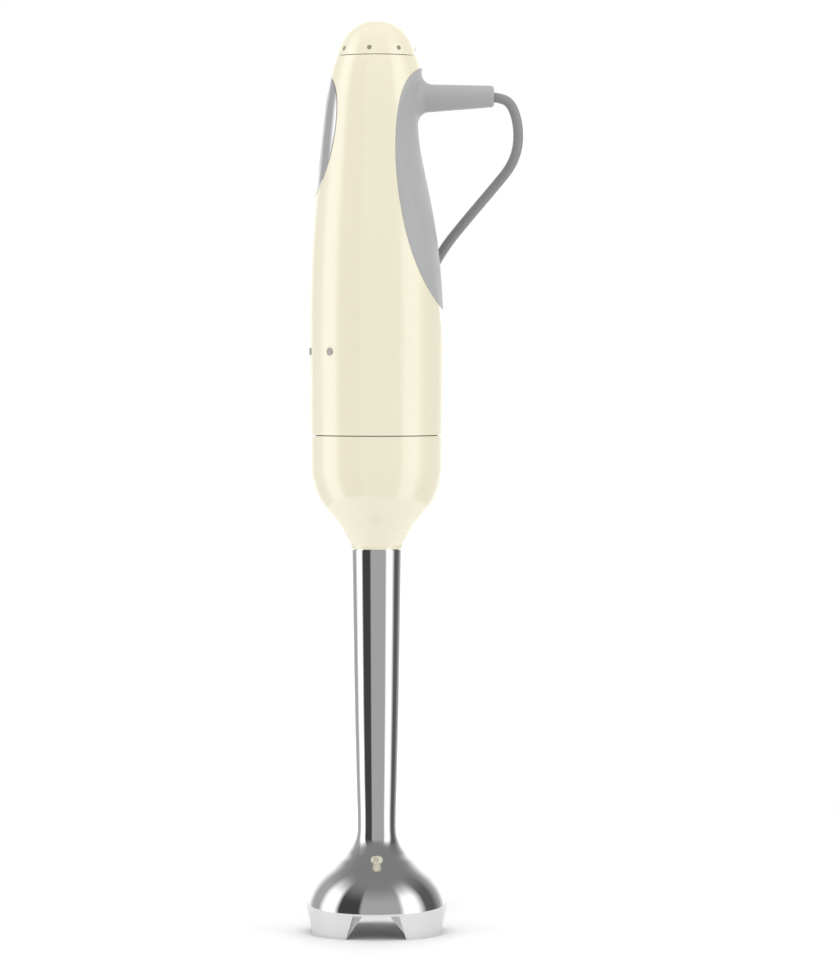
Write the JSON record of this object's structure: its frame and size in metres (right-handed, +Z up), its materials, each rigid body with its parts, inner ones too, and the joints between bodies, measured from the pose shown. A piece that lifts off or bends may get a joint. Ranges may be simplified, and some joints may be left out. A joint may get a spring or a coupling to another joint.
{
  "type": "immersion blender",
  "caption": "Stick blender: motor unit with speed dial, start and turbo buttons, cord and plug, and a twist-off steel blending foot with a guarded blade.",
  "frame": {"origin": "centre of the bell's rim, on the drive axis, where the bell meets the surface the blender stands on", "axes": "+Z up the drive axis towards the speed dial, -X the button side, +X the side that the cord leaves from"},
  "size_m": [0.0966, 0.1733, 0.4052],
  "materials": {
    "cream_gloss": "high gloss, smooth",
    "grey_soft": "soft matt",
    "cord_grey": "satin",
    "chrome_trim": "polished",
    "button_silver": "satin chrome",
    "mark_grey": "matt",
    "stainless": "mirror polished",
    "blade_steel": "ground",
    "shaft_steel": "ground",
    "spring_steel": "drawn",
    "screw_steel": "zinc plated",
    "black_plastic": "moulded, satin",
    "coupling_plastic": "moulded",
    "motor_steel": "zinc plated",
    "core_steel": "stacked laminations",
    "magnet_black": "sintered",
    "copper": "enamelled",
    "bronze": "sintered",
    "carbon": "graphite",
    "seal_rubber": "matt",
    "board_green": "solder mask",
    "capacitor_yellow": "moulded",
    "component_black": "moulded",
    "sink_aluminium": "extruded",
    "tie_black": "matt",
    "plug_grey": "satin",
    "prong_brass": "plain"
  },
  "bodies": {
    "motor_unit": {"main_housing": "cream_gloss", "rear_cover": "grey_soft", "button_bezel": "chrome_trim", "badge_pips": "chrome_trim", "bayonet_socket": "black_plastic", "socket_screws": "screw_steel", "motor_frame": "black_plastic", "upper_frame": "black_plastic", "frame_screws": "screw_steel", "motor_can": "motor_steel", "motor_end_cap": "black_plastic", "magnets": "magnet_black", "motor_dampers": "seal_rubber", "lower_motor_bearing": "shaft_steel", "upper_motor_bearing": "shaft_steel", "carbon_brushes": "carbon", "brush_springs": "spring_steel", "control_board": "board_green", "board_screws": "screw_steel", "suppression_capacitor": "capacitor_yellow", "triac": "component_black", "heat_sink": "sink_aluminium", "speed_potentiometer": "sink_aluminium", "start_switch": "black_plastic", "turbo_switch": "black_plastic", "start_spring": "spring_steel", "turbo_spring": "spring_steel", "cord_clamp": "black_plastic", "clamp_screws": "screw_steel", "cord_lead": "cord_grey", "power_cord": "cord_grey", "cord_hank": "cord_grey", "cord_tail": "cord_grey", "cord_tie": "tie_black", "plug_body": "plug_grey", "plug_prongs": "prong_brass"},
    "speed_knob": {"speed_dial": "cream_gloss", "dial_marks": "mark_grey", "dial_shaft": "shaft_steel"},
    "start_key": {"start_button": "button_silver"},
    "turbo_key": {"turbo_button": "button_silver"},
    "rotor": {"armature_core": "core_steel", "armature_windings": "copper", "commutator": "copper", "motor_shaft": "shaft_steel", "cooling_fan": "coupling_plastic", "drive_coupling": "coupling_plastic"},
    "seal_ring": {"foot_seal": "seal_rubber"},
    "blending_foot": {"foot_collar": "cream_gloss", "bayonet_spigot": "black_plastic", "steel_foot": "stainless", "bearing_housing": "black_plastic", "lower_bush": "bronze", "lip_seal": "seal_rubber", "upper_bearing": "shaft_steel"},
    "blade_drive": {"drive_shaft": "shaft_steel", "driven_coupling": "coupling_plastic", "blade": "blade_steel", "blade_nut": "blade_steel"}
  },
  "joints": [
    {"name": "speed_dial_turn", "type": "hinge", "parent": "motor_unit", "child": "speed_knob", "pos_m": [0, 0, 0.3888], "axis": [0, 0, 1], "range_deg": [0, 270]},
    {"name": "start_button_press", "type": "slide", "parent": "motor_unit", "child": "start_key", "axis": [1, 0, 0], "range_m": [0, 0.0015], "stiffness_N_per_m": 400, "springref_m": -0.001, "deforming": ["start_spring"]},
    {"name": "turbo_button_press", "type": "slide", "parent": "motor_unit", "child": "turbo_key", "axis": [1, 0, 0], "range_m": [0, 0.0015], "stiffness_N_per_m": 400, "springref_m": -0.001, "deforming": ["turbo_spring"]},
    {"name": "motor_spin", "type": "hinge", "parent": "motor_unit", "child": "rotor", "pos_m": [0, 0, 0.27], "axis": [0, 0, 1], "continuous": true},
    {"name": "foot_twist", "type": "hinge", "parent": "motor_unit", "child": "seal_ring", "pos_m": [0, 0, 0.2214], "axis": [0, 0, 1], "range_deg": [0, 40]},
    {"name": "foot_pull", "type": "slide", "parent": "seal_ring", "child": "blending_foot", "axis": [0, 0, -1], "range_m": [0, 0.05]},
    {"name": "blade_spin", "type": "hinge", "parent": "blending_foot", "child": "blade_drive", "pos_m": [0, 0, 0.1], "axis": [0, 0, 1], "continuous": true}
  ],
  "couplings": [
    {"joint": "blade_spin", "follows": "motor_spin", "ratio": 1}
  ]
}
